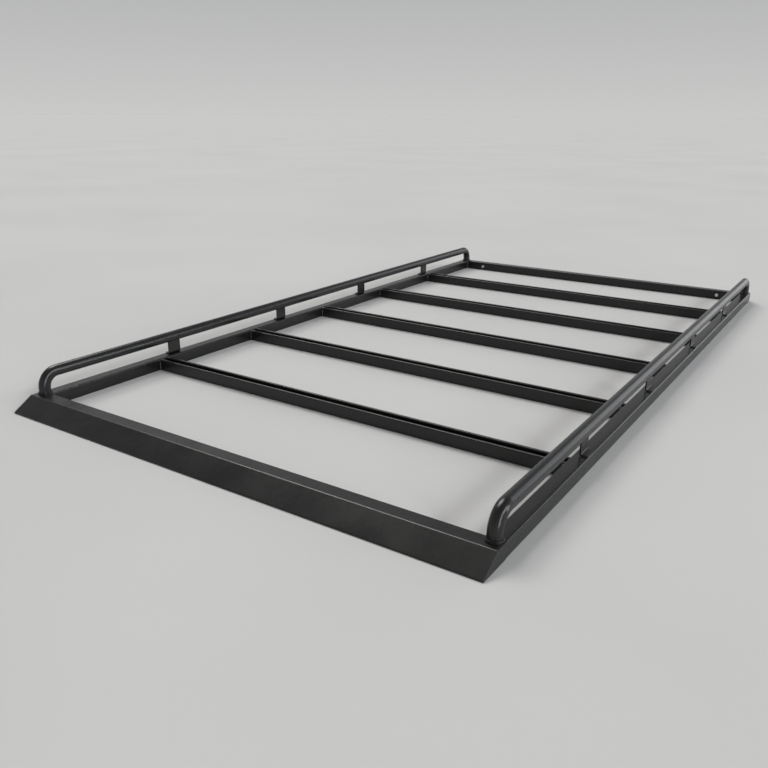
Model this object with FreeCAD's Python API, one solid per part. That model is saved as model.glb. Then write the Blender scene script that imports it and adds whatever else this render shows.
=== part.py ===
import FreeCAD, Part
import math
import os

# Flat roof rack. Millimetres, X across, Y from front to rear, Z up.
# The origin is the middle of the footprint on the plane that the underside rests on.
# Left and right are as seen by someone who stands in front of the rack.

# Outer size of the flat frame
overall_width = 1500.0
overall_length = 2746.0
frame_height = 40.0

# Side rails and rear crossbar, square hollow section
rail_width = 40.0
rail_wall = 2.0
rail_corner = 4.0

# Plastic plugs in the rear ends of the side rails
cap_plate = 3.0
cap_insert = 14.0
cap_clearance = 0.2

# Front member, folded from one sheet with a raked nose, and the plates that close its ends
front_sheet = 2.0
front_top = 40.0
nose_run = 65.0
nose_bend = 6.0
rear_bend = 3.0
toe_bend = 2.6
bottom_lip = 18.0
cheek_plate = 3.0

# Crossbars, lipped channel with the slot on top
bar_count = 5
bar_width = 41.0
bar_sheet = 2.0
bar_bend = 3.5
bar_slot = 22.0
bar_lip_return = 7.0
bar_top_drop = 1.5
first_bay = 405.0

# Bolt holes through the rear crossbar
rear_hole_diameter = 9.0
rear_hole_spacing = 1224.0

# Guard tubes along both sides
tube_diameter = 33.7
tube_rise = 60.0
tube_inset = 23.0
tube_bend_radius = 44.0
front_leg_setback = 32.0
rear_leg_setback = 22.0

# Collars at the feet of the guard tubes
collar_wall = 2.8
collar_height = 6.0
collar_clearance = 0.2
collar_edge = 1.0

# Folded brackets that carry the guard tubes between their legs
bracket_count = 4
bracket_length = 50.0
bracket_sheet = 4.0
bracket_bend = 7.0
bracket_edge_margin = 4.0
bracket_foot_corner = 5.0
bracket_front_gap = 493.0
bracket_rear_gap = 473.0
bracket_clearance = 0.2

# Places that follow from the sizes
half_width = overall_width / 2
rake_angle = math.atan2(frame_height, nose_run)
toe_loss = toe_bend / math.tan(rake_angle / 2) - toe_bend
y_toe = -overall_length / 2 - toe_loss
y_crease = y_toe + nose_run
y_front_back = y_crease + front_top
y_cap_face = overall_length / 2
y_rail_end = y_cap_face - cap_plate
y_rear_bar = y_rail_end - rail_width
clear_width = overall_width - 2 * rail_width
bar_height = frame_height - bar_top_drop
tube_x = half_width - tube_inset
tube_z = frame_height + tube_rise
y_front_leg = y_crease + front_leg_setback
y_rear_leg = y_rail_end - rear_leg_setback
first_bar_y = y_front_back + first_bay + bar_width / 2
last_bar_y = y_rear_bar + rail_width / 2
bar_pitch = (last_bar_y - first_bar_y) / bar_count
first_bracket_y = y_front_leg + bracket_front_gap
last_bracket_y = y_rear_leg - bracket_rear_gap
bracket_pitch = (last_bracket_y - first_bracket_y) / (bracket_count - 1)

AXIS_X = FreeCAD.Vector(1, 0, 0)
AXIS_Y = FreeCAD.Vector(0, 1, 0)
AXIS_Z = FreeCAD.Vector(0, 0, 1)
ORIGIN = FreeCAD.Vector(0, 0, 0)


def across(u, v):
    """Point of a section that is pulled along X: u is Y and v is Z."""
    return FreeCAD.Vector(0, u, v)


def lengthwise(u, v):
    """Point of a section that is pulled along Y: u is X and v is Z."""
    return FreeCAD.Vector(u, 0, v)


def bend_arc(before, corner, after, radius):
    """Start, middle and end of the arc that rounds one corner of a section."""
    to_before = (before - corner).normalize()
    to_after = (after - corner).normalize()
    half_angle = to_before.getAngle(to_after) / 2
    reach = radius / math.tan(half_angle)
    bisector = (to_before + to_after).normalize()
    middle = corner + bisector * (radius / math.sin(half_angle) - radius)
    return corner + to_before * reach, middle, corner + to_after * reach


def rounded_path(points, radii):
    """Open wire through the points, with an arc of the given radius at each inner point."""
    edges = []
    start = points[0]
    for index, radius in enumerate(radii, 1):
        first, middle, last = bend_arc(points[index - 1], points[index], points[index + 1], radius)
        edges.append(Part.LineSegment(start, first).toShape())
        edges.append(Part.Arc(first, middle, last).toShape())
        start = last
    edges.append(Part.LineSegment(start, points[-1]).toShape())
    return Part.Wire(edges)


def rounded_loop(points, radii):
    """Closed wire round the points, with an arc of the given radius at each point."""
    edges = []
    count = len(points)
    arcs = [bend_arc(points[i - 1], points[i], points[(i + 1) % count], radii[i]) for i in range(count)]
    for index, (first, middle, last) in enumerate(arcs):
        edges.append(Part.LineSegment(arcs[index - 1][2], first).toShape())
        edges.append(Part.Arc(first, middle, last).toShape())
    return Part.Wire(edges)


def rectangle(plane, low_u, high_u, low_v, high_v, corner):
    """Rectangular loop with equal round corners."""
    points = [plane(low_u, low_v), plane(high_u, low_v), plane(high_u, high_v), plane(low_u, high_v)]
    return rounded_loop(points, [corner] * 4)


def hollow_section(plane, low_u, high_u, low_v, high_v):
    """Section of the square tube, with its wall."""
    outer = rectangle(plane, low_u, high_u, low_v, high_v, rail_corner)
    inner = rectangle(plane, low_u + rail_wall, high_u - rail_wall, low_v + rail_wall,
                      high_v - rail_wall, rail_corner - rail_wall)
    return Part.makeFace([outer, inner], "Part::FaceMakerBullseye")


def folded_section(path, sheet):
    """Section of a sheet of even thickness that lies on one side of the path."""
    return path.makeOffset2D(sheet, 0, True, True)


def mirrored(shape):
    """The same piece on the left-hand side."""
    return shape.mirror(ORIGIN, AXIS_X)


def front_profile():
    """Corners of the front member's side view, from the toe up over the nose and down at the back."""
    return [across(y_toe, 0), across(y_crease, frame_height), across(y_front_back, frame_height),
            across(y_front_back, 0)]


def front_bends():
    """Outer bend radius at each corner of the front member's side view."""
    return [toe_bend, nose_bend, rear_bend, rear_bend]


def make_front_fairing():
    """One folded sheet between the two end plates, open underneath between its lips."""
    lip_front = across(y_toe + bottom_lip, 0)
    lip_rear = across(y_front_back - bottom_lip, 0)
    path = rounded_path([lip_front] + front_profile() + [lip_rear], front_bends())
    length = overall_width - 2 * cheek_plate
    sheet = folded_section(path, front_sheet).extrude(AXIS_X * length)
    sheet.translate(AXIS_X * (-length / 2))
    return sheet


def make_front_cheek():
    """Flat plate with the outline of the folded section."""
    plate = Part.Face(rounded_loop(front_profile(), front_bends())).extrude(AXIS_X * cheek_plate)
    plate.translate(AXIS_X * (half_width - cheek_plate))
    return plate


def make_side_rail():
    """Square tube from the back of the front member to the rear."""
    section = hollow_section(lengthwise, half_width - rail_width, half_width, 0, frame_height)
    rail = section.extrude(AXIS_Y * (y_rail_end - y_front_back))
    rail.translate(AXIS_Y * y_front_back)
    return rail


def make_rail_cap():
    """Plug with a plate that covers the tube's end and an insert that goes into it."""
    inner = half_width - rail_width
    plate = Part.Face(rectangle(lengthwise, inner, half_width, 0, frame_height, rail_corner))
    plate = plate.extrude(AXIS_Y * cap_plate)
    play = rail_wall + cap_clearance
    corner = rail_corner - rail_wall
    insert = Part.Face(rectangle(lengthwise, inner + play, half_width - play, play, frame_height - play, corner))
    insert = insert.extrude(AXIS_Y * -cap_insert)
    cap = plate.fuse(insert).removeSplitter()
    cap.translate(AXIS_Y * y_rail_end)
    return cap


def make_crossbar(y_centre):
    """Lipped channel between the side rails, its slot on top and its lips turned down inside."""
    half_bar = bar_width / 2
    half_slot = bar_slot / 2
    lip_end = bar_height - bar_lip_return
    right_half = [across(half_bar, 0), across(half_bar, bar_height), across(half_slot, bar_height),
                  across(half_slot, lip_end)]
    left_half = [across(-point.y, point.z) for point in reversed(right_half)]
    points = left_half + right_half
    path = rounded_path(points, [bar_bend] * (len(points) - 2))
    bar = folded_section(path, -bar_sheet).extrude(AXIS_X * clear_width)
    bar.translate(FreeCAD.Vector(-clear_width / 2, y_centre, 0))
    return bar


def make_rear_crossbar():
    """Square tube between the rear ends of the side rails, drilled through near both ends."""
    section = hollow_section(across, y_rear_bar, y_rail_end, 0, frame_height)
    bar = section.extrude(AXIS_X * clear_width)
    bar.translate(AXIS_X * (-clear_width / 2))
    for side in (-1, 1):
        mouth = FreeCAD.Vector(side * rear_hole_spacing / 2, y_rear_bar, frame_height / 2)
        bar = bar.cut(Part.makeCylinder(rear_hole_diameter / 2, rail_width, mouth, AXIS_Y))
    return bar


def guard_path():
    """Centre line of a guard tube: up a leg, along the side and down the other leg."""
    points = [FreeCAD.Vector(tube_x, y_front_leg, frame_height), FreeCAD.Vector(tube_x, y_front_leg, tube_z),
              FreeCAD.Vector(tube_x, y_rear_leg, tube_z), FreeCAD.Vector(tube_x, y_rear_leg, frame_height)]
    return rounded_path(points, [tube_bend_radius] * 2)


def make_guard_tube():
    """Bent round tube, closed where its two feet stand on the frame."""
    foot = FreeCAD.Vector(tube_x, y_front_leg, frame_height)
    section = Part.Face(Part.Wire([Part.makeCircle(tube_diameter / 2, foot, AXIS_Z)]))
    return guard_path().makePipe(section)


def make_collar(y_leg):
    """Turned ring round the foot of a guard tube, with a bevelled upper rim."""
    foot = FreeCAD.Vector(tube_x, y_leg, frame_height)
    bore = tube_diameter / 2 + collar_clearance
    ring = Part.makeCylinder(bore + collar_wall, collar_height, foot, AXIS_Z)
    upper_rim = max(ring.Edges, key=lambda edge: edge.CenterOfMass.z)
    ring = ring.makeChamfer(collar_edge, [upper_rim])
    return ring.cut(Part.makeCylinder(bore, collar_height, foot, AXIS_Z))


def make_collars():
    """The rings of all four feet."""
    right_side = [make_collar(y_front_leg), make_collar(y_rear_leg)]
    return Part.makeCompound(right_side + [mirrored(collar) for collar in right_side])


def make_bracket(y_centre):
    """Sheet folded to an upright under the tube and a foot that is welded to the rail."""
    upright_inner = tube_x - bracket_sheet / 2
    foot_edge = half_width - bracket_edge_margin
    points = [lengthwise(upright_inner, tube_z), lengthwise(upright_inner, frame_height),
              lengthwise(foot_edge, frame_height)]
    section = folded_section(rounded_path(points, [bracket_bend]), bracket_sheet)
    bracket = section.extrude(AXIS_Y * bracket_length)
    bracket.translate(AXIS_Y * (y_centre - bracket_length / 2))
    corners = [edge for edge in bracket.Edges if is_foot_corner(edge, foot_edge)]
    bracket = bracket.makeFillet(bracket_foot_corner, corners)
    tube_start = FreeCAD.Vector(tube_x, y_centre - bracket_length, tube_z)
    seat = Part.makeCylinder(tube_diameter / 2 + bracket_clearance, 2 * bracket_length, tube_start, AXIS_Y)
    return lower_part(bracket.cut(seat))


def is_foot_corner(edge, foot_edge):
    """True for the two short upright edges at the free end of a bracket's foot."""
    ends = [vertex.Point for vertex in edge.Vertexes]
    upright = abs(ends[0].x - ends[-1].x) < collar_clearance and abs(ends[0].y - ends[-1].y) < collar_clearance
    return upright and abs(ends[0].x - foot_edge) < collar_clearance


def lower_part(shape):
    """The solid that stands on the rail, without the sliver that the seat leaves above."""
    return min(shape.Solids, key=lambda solid: solid.BoundBox.ZMin)


os.makedirs("parts", exist_ok=True)


def save(name, shape):
    """Write one piece of the rack."""
    shape.exportStep("parts/" + name + ".step")


def save_pair(name, shape):
    """Write a piece of the right-hand side and its mirror image."""
    save(name + "_right", shape)
    save(name + "_left", mirrored(shape))


save("front_fairing", make_front_fairing())
save_pair("front_cheek", make_front_cheek())
save_pair("side_rail", make_side_rail())
save_pair("rail_cap", make_rail_cap())
for number in range(bar_count):
    save("crossbar_%d" % (number + 1), make_crossbar(first_bar_y + number * bar_pitch))
save("rear_crossbar", make_rear_crossbar())
save_pair("guard_tube", make_guard_tube())
save("tube_collars", make_collars())
for number in range(bracket_count):
    save_pair("tube_bracket_%d" % (number + 1), make_bracket(first_bracket_y + number * bracket_pitch))
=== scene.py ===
import math

import bmesh
import bpy
from mathutils import Matrix, Vector


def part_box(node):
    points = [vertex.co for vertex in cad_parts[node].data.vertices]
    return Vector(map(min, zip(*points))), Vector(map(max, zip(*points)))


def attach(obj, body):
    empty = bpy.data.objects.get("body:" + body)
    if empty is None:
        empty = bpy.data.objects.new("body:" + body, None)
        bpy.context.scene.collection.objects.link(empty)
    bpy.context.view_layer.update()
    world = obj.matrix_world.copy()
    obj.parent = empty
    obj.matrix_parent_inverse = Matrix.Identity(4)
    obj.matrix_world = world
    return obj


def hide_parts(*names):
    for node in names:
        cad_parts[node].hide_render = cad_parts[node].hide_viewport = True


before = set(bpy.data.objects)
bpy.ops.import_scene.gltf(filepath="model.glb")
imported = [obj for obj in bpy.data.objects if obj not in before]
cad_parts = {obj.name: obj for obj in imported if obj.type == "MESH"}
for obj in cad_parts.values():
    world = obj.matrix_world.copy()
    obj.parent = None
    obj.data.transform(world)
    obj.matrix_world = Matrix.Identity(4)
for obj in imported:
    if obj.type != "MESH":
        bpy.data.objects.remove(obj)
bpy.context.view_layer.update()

# Side rails: two lengths of square steel tube that carry every other piece.
# The rack is welded up first, then blasted and powder coated satin black in one go,
# so the coat has a fine orange peel and lies a little thinner and smoother on the edges.
RAILS = ("side_rail_left", "side_rail_right")
EDGE_SAMPLES = 4
EDGE_KEPT = 0.25
RUBBED_RANGE = 1.25
GLOSSIER, DULLER = 0.025, 0.03
GRIT = 0.02
PAINT_SPECULAR = 0.4


def link(tree, start, end):
    tree.links.new(start, end)


def shader(name):
    """A new material and the shader that its nodes feed."""
    material = bpy.data.materials.new(name)
    material.use_nodes = True
    return material, material.node_tree, material.node_tree.nodes["Principled BSDF"]


def grain(tree, scale, detail=3.0, roughness=0.55):
    """Noise in the piece's own coordinates, in repeats a metre."""
    place = tree.nodes.new("ShaderNodeTexCoord")
    noise = tree.nodes.new("ShaderNodeTexNoise")
    noise.inputs["Scale"].default_value = scale
    noise.inputs["Detail"].default_value = detail
    noise.inputs["Roughness"].default_value = roughness
    link(tree, place.outputs["Object"], noise.inputs["Vector"])
    return noise.outputs["Fac"]


def spread(tree, value, low, high, start=0.35, end=0.65):
    """Noise turned into a number between low and high."""
    ranged = tree.nodes.new("ShaderNodeMapRange")
    ranged.inputs["From Min"].default_value = start
    ranged.inputs["From Max"].default_value = end
    ranged.inputs["To Min"].default_value = low
    ranged.inputs["To Max"].default_value = high
    link(tree, value, ranged.inputs["Value"])
    return ranged.outputs["Result"]


def tint(tree, value, dark, light, start=0.35, end=0.65):
    """Noise turned into a colour between dark and light."""
    ramp = tree.nodes.new("ShaderNodeValToRGB")
    ramp.color_ramp.elements[0].position = start
    ramp.color_ramp.elements[0].color = (*dark, 1.0)
    ramp.color_ramp.elements[1].position = end
    ramp.color_ramp.elements[1].color = (*light, 1.0)
    link(tree, value, ramp.inputs["Fac"])
    return ramp.outputs["Color"]


def blend_colour(tree, share, first, second):
    """The first colour where the share is 0 and the second where it is 1."""
    mix = tree.nodes.new("ShaderNodeMix")
    mix.data_type = "RGBA"
    link(tree, share, mix.inputs["Factor"])
    link(tree, first, mix.inputs["A"])
    link(tree, second, mix.inputs["B"])
    return mix.outputs[2]


def relief(tree, height, strength, depth, under=None):
    """Bump of the given depth in metres, laid over another normal where there is one."""
    bump = tree.nodes.new("ShaderNodeBump")
    bump.inputs["Strength"].default_value = strength
    bump.inputs["Distance"].default_value = depth
    link(tree, height, bump.inputs["Height"])
    if under is not None:
        link(tree, under, bump.inputs["Normal"])
    return bump.outputs["Normal"]


def soft_normal(tree, radius):
    """The surface's normal with its sharp edges eased by a small radius."""
    bevel = tree.nodes.new("ShaderNodeBevel")
    bevel.samples = EDGE_SAMPLES
    bevel.inputs["Radius"].default_value = radius
    return bevel.outputs["Normal"]


def edge_share(tree, soft, reach):
    """1 along sharp edges and 0 on flats, broken up a little so that it isn't a drawn line."""
    surface = tree.nodes.new("ShaderNodeNewGeometry")
    dot = tree.nodes.new("ShaderNodeVectorMath")
    dot.operation = "DOT_PRODUCT"
    link(tree, soft, dot.inputs[0])
    link(tree, surface.outputs["Normal"], dot.inputs[1])
    edge = spread(tree, dot.outputs["Value"], 1.0, 0.0, start=1.0 - reach, end=1.0 - 0.1 * reach)
    broken = tree.nodes.new("ShaderNodeMath")
    broken.operation = "MULTIPLY"
    link(tree, edge, broken.inputs[0])
    link(tree, spread(tree, grain(tree, scale=60.0, detail=4.0), EDGE_KEPT, 1.0), broken.inputs[1])
    return broken.outputs["Value"]


def powder_coat(name, dark, light, rubbed, gloss, edge_radius):
    """Satin powder coat: drifting shade, orange peel, fine grit, and rubbed, rounded edges."""
    material, tree, coat = shader(name)
    soft = soft_normal(tree, edge_radius)
    edges = edge_share(tree, soft, reach=0.3)
    drift = tint(tree, grain(tree, scale=4.5, detail=4.0), dark, light)
    worn = tint(tree, grain(tree, scale=35.0), rubbed, tuple(RUBBED_RANGE * c for c in rubbed))
    link(tree, blend_colour(tree, edges, drift, worn), coat.inputs["Base Color"])
    drawn = grain(tree, scale=9.0, detail=5.0, roughness=0.6)
    smear = spread(tree, drawn, gloss - GLOSSIER, gloss + DULLER)
    grit = spread(tree, grain(tree, scale=1400.0, detail=2.0), -GRIT, GRIT)
    total = tree.nodes.new("ShaderNodeMath")
    link(tree, smear, total.inputs[0])
    link(tree, grit, total.inputs[1])
    link(tree, total.outputs["Value"], coat.inputs["Roughness"])
    orange = grain(tree, scale=420.0, detail=2.0, roughness=0.4)
    peel = relief(tree, orange, strength=0.22, depth=0.0004, under=soft)
    fine = relief(tree, grain(tree, scale=2600.0, detail=1.0), strength=0.10, depth=0.0001, under=peel)
    link(tree, fine, coat.inputs["Normal"])
    coat.inputs["Specular IOR Level"].default_value = PAINT_SPECULAR
    return material


def finish_nodes(names, material):
    """Gives the solids that keep their own shape their finish."""
    for name in names:
        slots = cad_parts[name].data.materials
        slots.clear()
        slots.append(material)


frame_black = powder_coat("satin black frame coat", dark=(0.0080, 0.0080, 0.0080),
                          light=(0.0115, 0.0115, 0.0113), rubbed=(0.026, 0.026, 0.026),
                          gloss=0.28, edge_radius=0.0012)
finish_nodes(RAILS, frame_black)

# Front member: one sheet of steel folded to a flat top and a raked nose, with a small lip below,
# and a plate welded over each end and dressed to a soft edge before coating.
CHEEKS = (("front_cheek_left", -1.0), ("front_cheek_right", 1.0))
CHEEK_EDGE = 0.0028
SAME_POINT = 2e-6
SAME_PLANE = 1e-5
FLAT_WITHIN = math.radians(1.0)
CLEAR_CORNER = math.radians(40.0)


def merged_copy(node):
    """The node's own shape with its triangles joined up again into flat faces."""
    shape = bmesh.new()
    shape.from_mesh(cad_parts[node].data)
    bmesh.ops.remove_doubles(shape, verts=shape.verts, dist=SAME_POINT)
    bmesh.ops.dissolve_limit(shape, angle_limit=FLAT_WITHIN, verts=shape.verts, edges=shape.edges)
    return shape


def lies_on(edge, axis, value):
    """Whether both ends of an edge have this value along the axis."""
    return all(abs(end.co[axis] - value) < SAME_PLANE for end in edge.verts)


def round_edges(shape, radius, chosen, steps=4):
    """Rounds the edges that the test picks, among those with a clear corner."""
    picked = [edge for edge in shape.edges
              if len(edge.link_faces) == 2 and edge.calc_face_angle(0.0) > CLEAR_CORNER and chosen(edge)]
    bmesh.ops.bevel(shape, geom=picked, offset=radius, offset_type="OFFSET", segments=steps,
                    profile=0.5, affect="EDGES", clamp_overlap=True)


def add_piece(name, shape, material, replaced=None, smooth_under=32.0):
    """Turns a shape into a piece of the rack with clean shading and its finish."""
    mesh = bpy.data.meshes.new(name)
    bmesh.ops.recalc_face_normals(shape, faces=shape.faces)
    shape.to_mesh(mesh)
    shape.free()
    mesh.materials.append(material)
    mesh.shade_smooth()
    mesh.set_sharp_from_angle(angle=math.radians(smooth_under))
    piece = bpy.data.objects.new(name, mesh)
    bpy.context.scene.collection.objects.link(piece)
    weighted = piece.modifiers.new("even shading", "WEIGHTED_NORMAL")
    weighted.keep_sharp = True
    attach(piece, "root")
    if replaced:
        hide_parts(replaced)


for node, side in CHEEKS:
    low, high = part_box(node)
    outer = high[0] if side > 0.0 else low[0]
    plate = merged_copy(node)
    round_edges(plate, CHEEK_EDGE, lambda edge: lies_on(edge, 0, outer) and not lies_on(edge, 1, high[1]))
    add_piece("dressed_" + node, plate, frame_black, node)
finish_nodes(("front_fairing",), frame_black)

# Crossbars: five lengths of lipped steel channel, slot upwards, set between the rails.
# The lips turn down into the slot, so straps and channel nuts can be held anywhere along a bar.
CROSSBARS = tuple("crossbar_%d" % number for number in range(1, 6))
finish_nodes(CROSSBARS, frame_black)

# Rear crossbar: a square steel tube flush with the rear ends of the rails.
# Two zinc plated M8 hexagon bolts with plain washers go through it near its ends.
BOLT_SPOTS = (-0.612, 0.612)
BOLT_ACROSS_FLATS = 0.013
BOLT_HEAD = 0.0053
HEAD_LAND = 0.93
HEAD_CHAMFER = math.radians(30.0)
WASHER_RADIUS = 0.0075
WASHER_THICK = 0.0016
WASHER_EDGE = 0.0003
SHANK_RADIUS = 0.0039
SHANK_SHORT_OF_REAR = 0.001
SHANK_IN_HEAD = 0.0001
THREAD_STEP, THREAD_DEPTH = 0.00125, 0.0005
TIP_LENGTH, TIP_SHOULDER, TIP_TAPER = 0.0007, 0.0003, 0.001
HEAD_STEPS, SHANK_STEPS = 36, 18


def skin(shape, rings):
    """Faces round a row of rings, closed at both ends."""
    for ring, after in zip(rings, rings[1:]):
        for i in range(len(ring)):
            j = (i + 1) % len(ring)
            shape.faces.new((ring[i], ring[j], after[j], after[i]))
    shape.faces.new(rings[0])
    shape.faces.new(list(reversed(rings[-1])))


def turned(shape, profile, steps):
    """A closed turned body about the Y axis from (radius, y) points."""
    turns = [2.0 * math.pi * i / steps for i in range(steps)]
    rings = []
    for radius, along in profile:
        rings.append([shape.verts.new((radius * math.cos(t), along, radius * math.sin(t))) for t in turns])
    skin(shape, rings)


def hexagon_head(shape, seat, top):
    """Six flats with a round chamfer at the top."""
    flat = 0.5 * BOLT_ACROSS_FLATS
    land = HEAD_LAND * flat
    foot, shoulder, crown = [], [], []
    for i in range(HEAD_STEPS):
        turn = 2.0 * math.pi * i / HEAD_STEPS
        off = (turn + math.pi / 6.0) % (math.pi / 3.0) - math.pi / 6.0
        reach = flat / math.cos(off)
        chamfer = top + (reach - land) * math.tan(HEAD_CHAMFER)
        across, up = math.cos(turn), math.sin(turn)
        foot.append(shape.verts.new((reach * across, seat, reach * up)))
        shoulder.append(shape.verts.new((reach * across, chamfer, reach * up)))
        crown.append(shape.verts.new((land * across, top, land * up)))
    skin(shape, [foot, shoulder, crown])


def bolt_shape(shank_length):
    """Head, washer and threaded shank, seated on the plane y = 0 with the head towards -Y."""
    shape = bmesh.new()
    seat = -WASHER_THICK
    rim = WASHER_RADIUS - WASHER_EDGE
    turned(shape, [(SHANK_RADIUS + WASHER_EDGE, 0.0), (rim, 0.0), (WASHER_RADIUS, -WASHER_EDGE),
                   (WASHER_RADIUS, seat + WASHER_EDGE), (rim, seat), (SHANK_RADIUS, seat)], HEAD_STEPS)
    hexagon_head(shape, seat, seat - BOLT_HEAD)
    thread = [(SHANK_RADIUS, seat + SHANK_IN_HEAD)]
    for i in range(1, int(shank_length / THREAD_STEP)):
        thread.append((SHANK_RADIUS - (THREAD_DEPTH if i % 2 else 0.0), i * THREAD_STEP))
    thread.append((SHANK_RADIUS - TIP_SHOULDER, shank_length - TIP_LENGTH))
    thread.append((SHANK_RADIUS - TIP_TAPER, shank_length))
    turned(shape, thread, SHANK_STEPS)
    bmesh.ops.recalc_face_normals(shape, faces=shape.faces)
    return shape


def zinc_plate(name):
    """Bright zinc: fine brushed gloss with dull blotches."""
    material, tree, metal = shader(name)
    blotches = grain(tree, scale=300.0, detail=4.0)
    link(tree, tint(tree, blotches, (0.58, 0.59, 0.60), (0.76, 0.76, 0.75)), metal.inputs["Base Color"])
    link(tree, spread(tree, grain(tree, scale=900.0), 0.22, 0.42), metal.inputs["Roughness"])
    brushed = relief(tree, grain(tree, scale=3000.0, detail=2.0), strength=0.15, depth=0.0001)
    link(tree, brushed, metal.inputs["Normal"])
    metal.inputs["Metallic"].default_value = 1.0
    return material


def tree_input(tree, name, kind):
    """A named input of a node tree, and the identifier that sets it."""
    return tree.interface.new_socket(name=name, in_out="INPUT", socket_type=kind).identifier


def set_in_place_tree():
    """Geometry nodes that set one fastener on every point of a drilled pattern."""
    tree = bpy.data.node_groups.new("fasteners on drilled points", "GeometryNodeTree")
    tree_input(tree, "Drilled points", "NodeSocketGeometry")
    ids = {"fastener": tree_input(tree, "Fastener", "NodeSocketObject"),
           "finish": tree_input(tree, "Finish", "NodeSocketMaterial")}
    tree.interface.new_socket(name="Fasteners", in_out="OUTPUT", socket_type="NodeSocketGeometry")
    start = tree.nodes.new("NodeGroupInput")
    info = tree.nodes.new("GeometryNodeObjectInfo")
    spots = tree.nodes.new("GeometryNodeInstanceOnPoints")
    real = tree.nodes.new("GeometryNodeRealizeInstances")
    paint = tree.nodes.new("GeometryNodeSetMaterial")
    end = tree.nodes.new("NodeGroupOutput")
    link(tree, start.outputs["Fastener"], info.inputs["Object"])
    link(tree, start.outputs["Drilled points"], spots.inputs["Points"])
    link(tree, info.outputs["Geometry"], spots.inputs["Instance"])
    link(tree, spots.outputs["Instances"], real.inputs["Geometry"])
    link(tree, real.outputs["Geometry"], paint.inputs["Geometry"])
    link(tree, start.outputs["Finish"], paint.inputs["Material"])
    link(tree, paint.outputs["Geometry"], end.inputs["Fasteners"])
    return tree, ids


def grown_piece(name, points, lines, tree, settings, material, smooth_under=35.0):
    """Runs a node tree on points and lines and keeps the plain mesh that it gives."""
    seed = bpy.data.meshes.new(name + "_lines")
    seed.from_pydata(points, lines, [])
    holder = bpy.data.objects.new(name + "_lines", seed)
    bpy.context.scene.collection.objects.link(holder)
    grow = holder.modifiers.new("grow", "NODES")
    grow.node_group = tree
    for identifier, value in settings:
        grow[identifier] = value
    bpy.context.view_layer.update()
    grown = holder.evaluated_get(bpy.context.evaluated_depsgraph_get())
    done = bpy.data.meshes.new_from_object(grown)
    bpy.data.objects.remove(holder)
    shape = bmesh.new()
    shape.from_mesh(done)
    add_piece(name, shape, material, None, smooth_under)


finish_nodes(("rear_crossbar",), frame_black)
rear_low, rear_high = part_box("rear_crossbar")
zinc = zinc_plate("bright zinc plate")
bolt = bolt_shape(rear_high[1] - rear_low[1] - SHANK_SHORT_OF_REAR)
bolt_mesh = bpy.data.meshes.new("m8_bolt")
bolt.to_mesh(bolt_mesh)
bolt.free()
bolt_pattern = bpy.data.objects.new("m8_bolt", bolt_mesh)
bpy.context.scene.collection.objects.link(bolt_pattern)
fastener_tree, fastener_ids = set_in_place_tree()
drilled = [(x, rear_low[1], 0.5 * (rear_low[2] + rear_high[2])) for x in BOLT_SPOTS]
grown_piece("rear_bar_bolts", drilled, [], fastener_tree,
            [(fastener_ids["fastener"], bolt_pattern), (fastener_ids["finish"], zinc)], zinc)
bpy.data.objects.remove(bolt_pattern)

# Welds: hand laid fillet beads in the corners where the bars meet the rails, under the coat.
# Each bead is a row of small ripples that swells a little and dies away at its ends.
BAR_BEAD = 0.0044
BAR_BEAD_OUT = 0.0019
BAR_BEAD_MARGIN = 0.003
BAR_RIPPLE, BAR_BEAD_STEP = 0.0026, 0.0005
BEAD_SIDES = 12
BEAD_SMOOTH_UNDER = 80.0
CREST, DIP = 1.06, 0.55
WOBBLE_SCALE, WOBBLE_LEAST, WOBBLE_RANGE = 90.0, 0.86, 0.28
END_LEAST, END_SWELL = 0.12, 14.0


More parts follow.
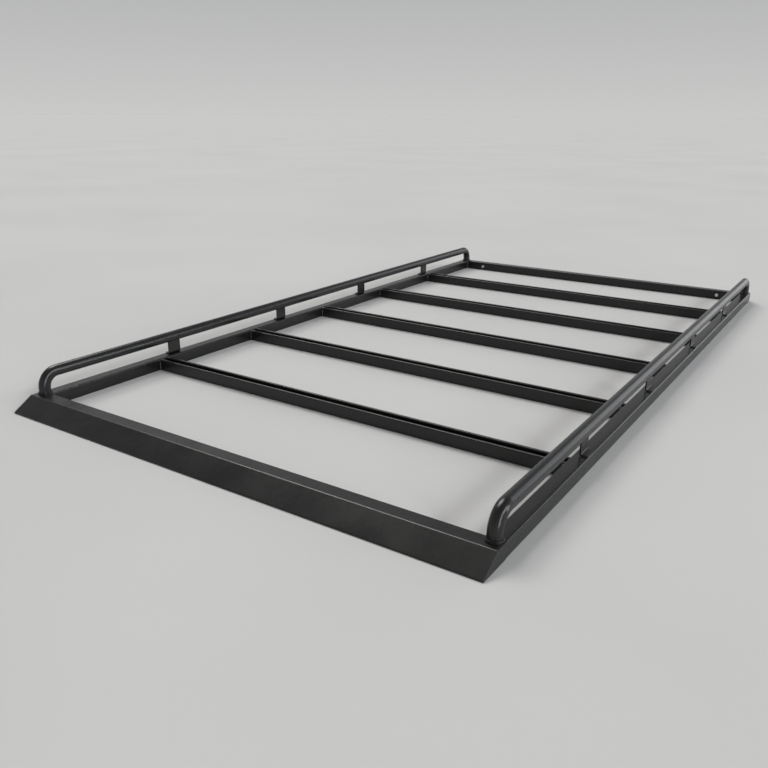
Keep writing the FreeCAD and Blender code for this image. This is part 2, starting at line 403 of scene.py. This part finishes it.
def weld_tree():
    """Geometry nodes that lay a rippled bead along every line."""
    tree = bpy.data.node_groups.new("weld bead along a seam", "GeometryNodeTree")
    tree_input(tree, "Seams", "NodeSocketGeometry")
    ids = {"radius": tree_input(tree, "Bead radius", "NodeSocketFloat"),
           "ripple": tree_input(tree, "Ripple pitch", "NodeSocketFloat"),
           "step": tree_input(tree, "Step", "NodeSocketFloat"),
           "finish": tree_input(tree, "Finish", "NodeSocketMaterial")}
    tree.interface.new_socket(name="Beads", in_out="OUTPUT", socket_type="NodeSocketGeometry")
    start = tree.nodes.new("NodeGroupInput")

    def sums(operation, first, second=0.0):
        node = tree.nodes.new("ShaderNodeMath")
        node.operation = operation
        for socket, value in zip(node.inputs, (first, second)):
            if isinstance(value, float):
                socket.default_value = value
            else:
                link(tree, value, socket)
        return node.outputs["Value"]

    curve = tree.nodes.new("GeometryNodeMeshToCurve")
    fine = tree.nodes.new("GeometryNodeResampleCurve")
    fine.mode = "LENGTH"
    along = tree.nodes.new("GeometryNodeSplineParameter")
    wobble = tree.nodes.new("ShaderNodeTexNoise")
    wobble.inputs["Scale"].default_value = WOBBLE_SCALE
    circle = tree.nodes.new("GeometryNodeCurvePrimitiveCircle")
    circle.inputs["Resolution"].default_value = BEAD_SIDES
    sweep = tree.nodes.new("GeometryNodeCurveToMesh")
    sweep.inputs["Fill Caps"].default_value = True
    smooth = tree.nodes.new("GeometryNodeSetShadeSmooth")
    real = tree.nodes.new("GeometryNodeRealizeInstances")
    paint = tree.nodes.new("GeometryNodeSetMaterial")
    end = tree.nodes.new("NodeGroupOutput")
    ripples = sums("FRACT", sums("DIVIDE", along.outputs["Length"], start.outputs["Ripple pitch"]))
    hollow = sums("POWER", sums("ABSOLUTE", sums("SUBTRACT", ripples, 0.5)), 2.0)
    swell = sums("SUBTRACT", CREST, sums("MULTIPLY", hollow, DIP))
    loose = sums("ADD", sums("MULTIPLY", wobble.outputs["Fac"], WOBBLE_RANGE), WOBBLE_LEAST)
    ends = sums("MULTIPLY", along.outputs["Factor"], sums("SUBTRACT", 1.0, along.outputs["Factor"]))
    rise = sums("MINIMUM", sums("ADD", sums("MULTIPLY", ends, END_SWELL), END_LEAST), 1.0)
    scale = sums("MULTIPLY", sums("MULTIPLY", swell, loose), sums("POWER", rise, 0.5))
    link(tree, start.outputs["Seams"], curve.inputs["Mesh"])
    link(tree, curve.outputs["Curve"], fine.inputs["Curve"])
    link(tree, start.outputs["Step"], fine.inputs["Length"])
    link(tree, start.outputs["Bead radius"], circle.inputs["Radius"])
    link(tree, fine.outputs["Curve"], sweep.inputs["Curve"])
    link(tree, circle.outputs["Curve"], sweep.inputs["Profile Curve"])
    link(tree, scale, sweep.inputs["Scale"])
    link(tree, sweep.outputs["Mesh"], smooth.inputs["Geometry"])
    link(tree, smooth.outputs["Geometry"], real.inputs["Geometry"])
    link(tree, real.outputs["Geometry"], paint.inputs["Geometry"])
    link(tree, start.outputs["Finish"], paint.inputs["Material"])
    link(tree, paint.outputs["Geometry"], end.inputs["Beads"])
    return tree, ids


bead_tree, bead_ids = weld_tree()
weld_black = powder_coat("satin black coat over welds", dark=(0.0090, 0.0090, 0.0090),
                         light=(0.0125, 0.0125, 0.0125), rubbed=(0.026, 0.026, 0.026),
                         gloss=0.22, edge_radius=0.0004)


def lay_welds(name, seams, radius, ripple, step):
    """One piece made of the beads along straight seams, each given by its two ends."""
    points = [end for seam in seams for end in seam]
    lines = [(2 * i, 2 * i + 1) for i in range(len(seams))]
    settings = [(bead_ids["radius"], radius), (bead_ids["ripple"], ripple), (bead_ids["step"], step),
                (bead_ids["finish"], weld_black)]
    grown_piece(name, points, lines, bead_tree, settings, weld_black, BEAD_SMOOTH_UNDER)


def upright_seam(x, y, low, high):
    """A seam up a corner, a little short of the lower and upper edge."""
    return (x, y, low[2] + BAR_BEAD_MARGIN), (x, y, high[2] - BAR_BEAD_MARGIN)


bar_seams = []
for node in CROSSBARS + ("rear_crossbar",):
    low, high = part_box(node)
    faces = [low[1] - BAR_BEAD_OUT]
    if node != "rear_crossbar":
        faces.append(high[1] + BAR_BEAD_OUT)
    for x in (low[0] + BAR_BEAD_OUT, high[0] - BAR_BEAD_OUT):
        bar_seams += [upright_seam(x, y, low, high) for y in faces]
front_low, front_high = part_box("front_fairing")
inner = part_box("side_rail_right")[0][0]
for x in (-inner + BAR_BEAD_OUT, inner - BAR_BEAD_OUT):
    bar_seams.append(upright_seam(x, front_high[1] + BAR_BEAD_OUT, front_low, front_high))
lay_welds("bar_end_welds", bar_seams, BAR_BEAD, BAR_RIPPLE, BAR_BEAD_STEP)

# Guard tubes: round steel tube bent down at both ends and welded on top of the rails.
# A turned ring sits round each foot, and the coat is a little glossier and cooler than the frame's.
GUARDS = ("guard_tube_left", "guard_tube_right", "tube_collars")
guard_black = powder_coat("satin black guard coat", dark=(0.0090, 0.0093, 0.0100),
                          light=(0.0125, 0.0128, 0.0138), rubbed=(0.026, 0.027, 0.029),
                          gloss=0.27, edge_radius=0.0006)
finish_nodes(GUARDS, guard_black)

# Tube brackets: short steel angles, folded with a round bend and coped to the tube above.
# Their edges are dressed, and small beads hold the ends of the foot and both sides of the cope.
BRACKETS = tuple("tube_bracket_%d_%s" % (number, side)
                 for side in ("left", "right") for number in range(1, 5))
BRACKET_PLATE = 0.004
BRACKET_EDGE, BRACKET_EDGE_STEPS = 0.0005, 2
DRESSED_FROM = 0.002
FOOT_BEAD, FOOT_BEAD_UP = 0.0017, 0.0006
FOOT_BEAD_IN, FOOT_BEAD_OUT = 0.006, 0.005
COPE_BEAD, COPE_BEAD_OFF, COPE_BEAD_MARGIN = 0.0014, 0.0004, 0.002
BRACKET_RIPPLE, BRACKET_BEAD_STEP = 0.0020, 0.0006

tube_low, tube_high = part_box("guard_tube_right")
tube_radius = 0.5 * (tube_high[0] - tube_low[0])
tube_x = 0.5 * (tube_high[0] + tube_low[0])
cope_off = 0.5 * BRACKET_PLATE + COPE_BEAD_OFF
cope_drop = math.sqrt((tube_radius + COPE_BEAD_OFF) ** 2 - cope_off ** 2)
cope_z = tube_high[2] - tube_radius - cope_drop
foot_seams, cope_seams = [], []
for node in BRACKETS:
    low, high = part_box(node)
    side = 1.0 if low[0] > 0.0 else -1.0
    angle = merged_copy(node)
    round_edges(angle, BRACKET_EDGE, lambda edge: edge.calc_length() > DRESSED_FROM, BRACKET_EDGE_STEPS)
    add_piece("dressed_" + node, angle, frame_black, node)
    near, far = sorted(abs(x) for x in (low[0], high[0]))
    foot_ends = (side * (near + FOOT_BEAD_IN), side * (far - FOOT_BEAD_OUT))
    for y in (low[1], high[1]):
        foot_seams.append([(x, y, low[2] + FOOT_BEAD_UP) for x in foot_ends])
    for x in (side * (tube_x - cope_off), side * (tube_x + cope_off)):
        cope_seams.append(((x, low[1] + COPE_BEAD_MARGIN, cope_z), (x, high[1] - COPE_BEAD_MARGIN, cope_z)))
lay_welds("bracket_foot_welds", foot_seams, FOOT_BEAD, BRACKET_RIPPLE, BRACKET_BEAD_STEP)
lay_welds("bracket_cope_welds", cope_seams, COPE_BEAD, BRACKET_RIPPLE, BRACKET_BEAD_STEP)

# Rail caps: moulded plastic plugs, pushed into the open rear ends of the side rails after coating.
# Their rims are rounded by the mould and the face has a fine matt grain.
CAPS = ("rail_cap_left", "rail_cap_right")
CAP_RIM = 0.0012
CAP_SOFT_EDGE = 0.0008
SCUFF_PALE, SCUFF_PALEST = 1.6, 2.0
PLASTIC_SPECULAR = 0.4


def moulded_plastic(name, dark, light):
    """Matt moulded plastic: spark grain, faint scuffs and paler rubbed edges."""
    material, tree, plastic = shader(name)
    soft = soft_normal(tree, CAP_SOFT_EDGE)
    edges = edge_share(tree, soft, reach=0.35)
    body = tint(tree, grain(tree, scale=25.0, detail=4.0), dark, light)
    scuffs = grain(tree, scale=80.0)
    worn = tint(tree, scuffs, tuple(SCUFF_PALE * c for c in light), tuple(SCUFF_PALEST * c for c in light))
    link(tree, blend_colour(tree, edges, body, worn), plastic.inputs["Base Color"])
    link(tree, spread(tree, grain(tree, scale=500.0, detail=4.0), 0.46, 0.62), plastic.inputs["Roughness"])
    spark = relief(tree, grain(tree, scale=1800.0), strength=0.35, depth=0.0003, under=soft)
    link(tree, spark, plastic.inputs["Normal"])
    plastic.inputs["Specular IOR Level"].default_value = PLASTIC_SPECULAR
    return material


cap_black = moulded_plastic("black moulded plug", dark=(0.012, 0.012, 0.012), light=(0.018, 0.018, 0.018))
for node in CAPS:
    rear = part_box(node)[1][1]
    plug = merged_copy(node)
    round_edges(plug, CAP_RIM, lambda edge: lies_on(edge, 1, rear))
    add_piece("moulded_" + node, plug, cap_black, node)

# Floor and light: a plain pale floor and a grey surround that meets the floor's tone at the horizon.
# All lights are soft and far away: a broad one behind on the left for the tops and lips,
# a faint one behind on the right, and an arch of small ones on the right for the streaks on the tubes.
FLOOR_SIZE, FLOOR_PARTS = 300.0, 8
FLOOR_DARK, FLOOR_LIGHT = (0.56, 0.56, 0.56), (0.59, 0.59, 0.585)
FLOOR_ROUGHNESS, FLOOR_SPECULAR = 0.85, 0.2
SURROUND = ((0.0, (0.582, 0.582, 0.576)),
            (0.14, (0.46, 0.463, 0.466)),
            (0.45, (0.36, 0.365, 0.37)),
            (0.75, (0.19, 0.19, 0.19)),
            (1.0, (0.13, 0.13, 0.13)))
ARCH_LIGHTS = 11
ARCH_TURN, ARCH_HALF_SPAN = 92.0, 31.0
ARCH_FOOT, ARCH_RISE = 4.0, 32.0
ARCH_POWER, ARCH_FADE = 0.30, 0.50

ground = bmesh.new()
bmesh.ops.create_grid(ground, x_segments=FLOOR_PARTS, y_segments=FLOOR_PARTS, size=0.5 * FLOOR_SIZE)
ground_mesh = bpy.data.meshes.new("floor")
ground.to_mesh(ground_mesh)
ground.free()
pale, pale_tree, pale_shader = shader("pale studio floor")
pale_shade = tint(pale_tree, grain(pale_tree, scale=0.6), FLOOR_DARK, FLOOR_LIGHT)
link(pale_tree, pale_shade, pale_shader.inputs["Base Color"])
pale_shader.inputs["Roughness"].default_value = FLOOR_ROUGHNESS
pale_shader.inputs["Specular IOR Level"].default_value = FLOOR_SPECULAR
ground_mesh.materials.append(pale)
floor = bpy.data.objects.new("floor", ground_mesh)
bpy.context.scene.collection.objects.link(floor)

world = bpy.data.worlds.new("studio surround")
world.use_nodes = True
sky = world.node_tree
direction = sky.nodes.new("ShaderNodeTexCoord")
height = sky.nodes.new("ShaderNodeSeparateXYZ")
shades = sky.nodes.new("ShaderNodeValToRGB")
bands = shades.color_ramp.elements
for place, colour in SURROUND[1:-1]:
    bands.new(place)
for band, (place, colour) in zip(bands, SURROUND):
    band.color = (*colour, 1.0)
link(sky, direction.outputs["Generated"], height.inputs["Vector"])
link(sky, height.outputs["Z"], shades.inputs["Fac"])
link(sky, shades.outputs["Color"], sky.nodes["Background"].inputs["Color"])
bpy.context.scene.world = world


def far_light(name, heading, power, width, colour):
    """A soft round light from far away that shines along a heading; its width is in degrees."""
    light = bpy.data.lights.new(name, "SUN")
    light.energy = power
    light.angle = math.radians(width)
    light.color = colour
    holder = bpy.data.objects.new(name, light)
    holder.rotation_euler = Vector(heading).to_track_quat("-Z", "Y").to_euler()
    bpy.context.scene.collection.objects.link(holder)


far_light("broad light behind on the left", heading=(0.50, -0.30, -0.81), power=1.65, width=32.0,
          colour=(1.0, 0.98, 0.95))
far_light("soft light behind on the right", heading=(-0.33, -0.90, -0.25), power=0.35, width=34.0,
          colour=(0.95, 0.975, 1.0))
for number in range(ARCH_LIGHTS):
    share = number / (ARCH_LIGHTS - 1)
    turn = math.radians(ARCH_TURN - ARCH_HALF_SPAN * math.cos(math.pi * share))
    rise = math.radians(ARCH_FOOT + ARCH_RISE * math.sin(math.pi * share))
    level = math.cos(rise)
    far_light("arch on the right", heading=(-math.sin(turn) * level, math.cos(turn) * level, -math.sin(rise)),
              power=ARCH_POWER * (1.0 - ARCH_FADE * share), width=8.0, colour=(0.97, 0.985, 1.0))

# Camera: stands at the right front corner, a little above the rack, and looks down along it,
# with the place, turn and lens that were worked out from the rack's straight edges in the photograph.
CAMERA_PLACE = (1.2651, -2.4865, 0.8234)
CAMERA_TURN = math.radians(33.5706)
CAMERA_DIP = math.radians(19.5769)
CAMERA_ROLL = math.radians(0.3496)
SENSOR_WIDTH, FOCAL_LENGTH = 36.0, 35.83

back = Vector((math.sin(CAMERA_TURN) * math.cos(CAMERA_DIP), -math.cos(CAMERA_TURN) * math.cos(CAMERA_DIP),
               math.sin(CAMERA_DIP)))
sideways = Vector((math.cos(CAMERA_TURN), math.sin(CAMERA_TURN), 0.0))
upright = back.cross(sideways)
right = sideways * math.cos(CAMERA_ROLL) + upright * math.sin(CAMERA_ROLL)
above = upright * math.cos(CAMERA_ROLL) - sideways * math.sin(CAMERA_ROLL)
lens = bpy.data.cameras.new("camera")
lens.sensor_width = SENSOR_WIDTH
lens.lens = FOCAL_LENGTH
camera = bpy.data.objects.new("camera", lens)
camera.matrix_world = Matrix.Translation(CAMERA_PLACE) @ Matrix((right, above, back)).transposed().to_4x4()
bpy.context.scene.collection.objects.link(camera)
bpy.context.scene.camera = camera
bpy.context.scene.view_settings.view_transform = "Standard"

bpy.context.view_layer.update()
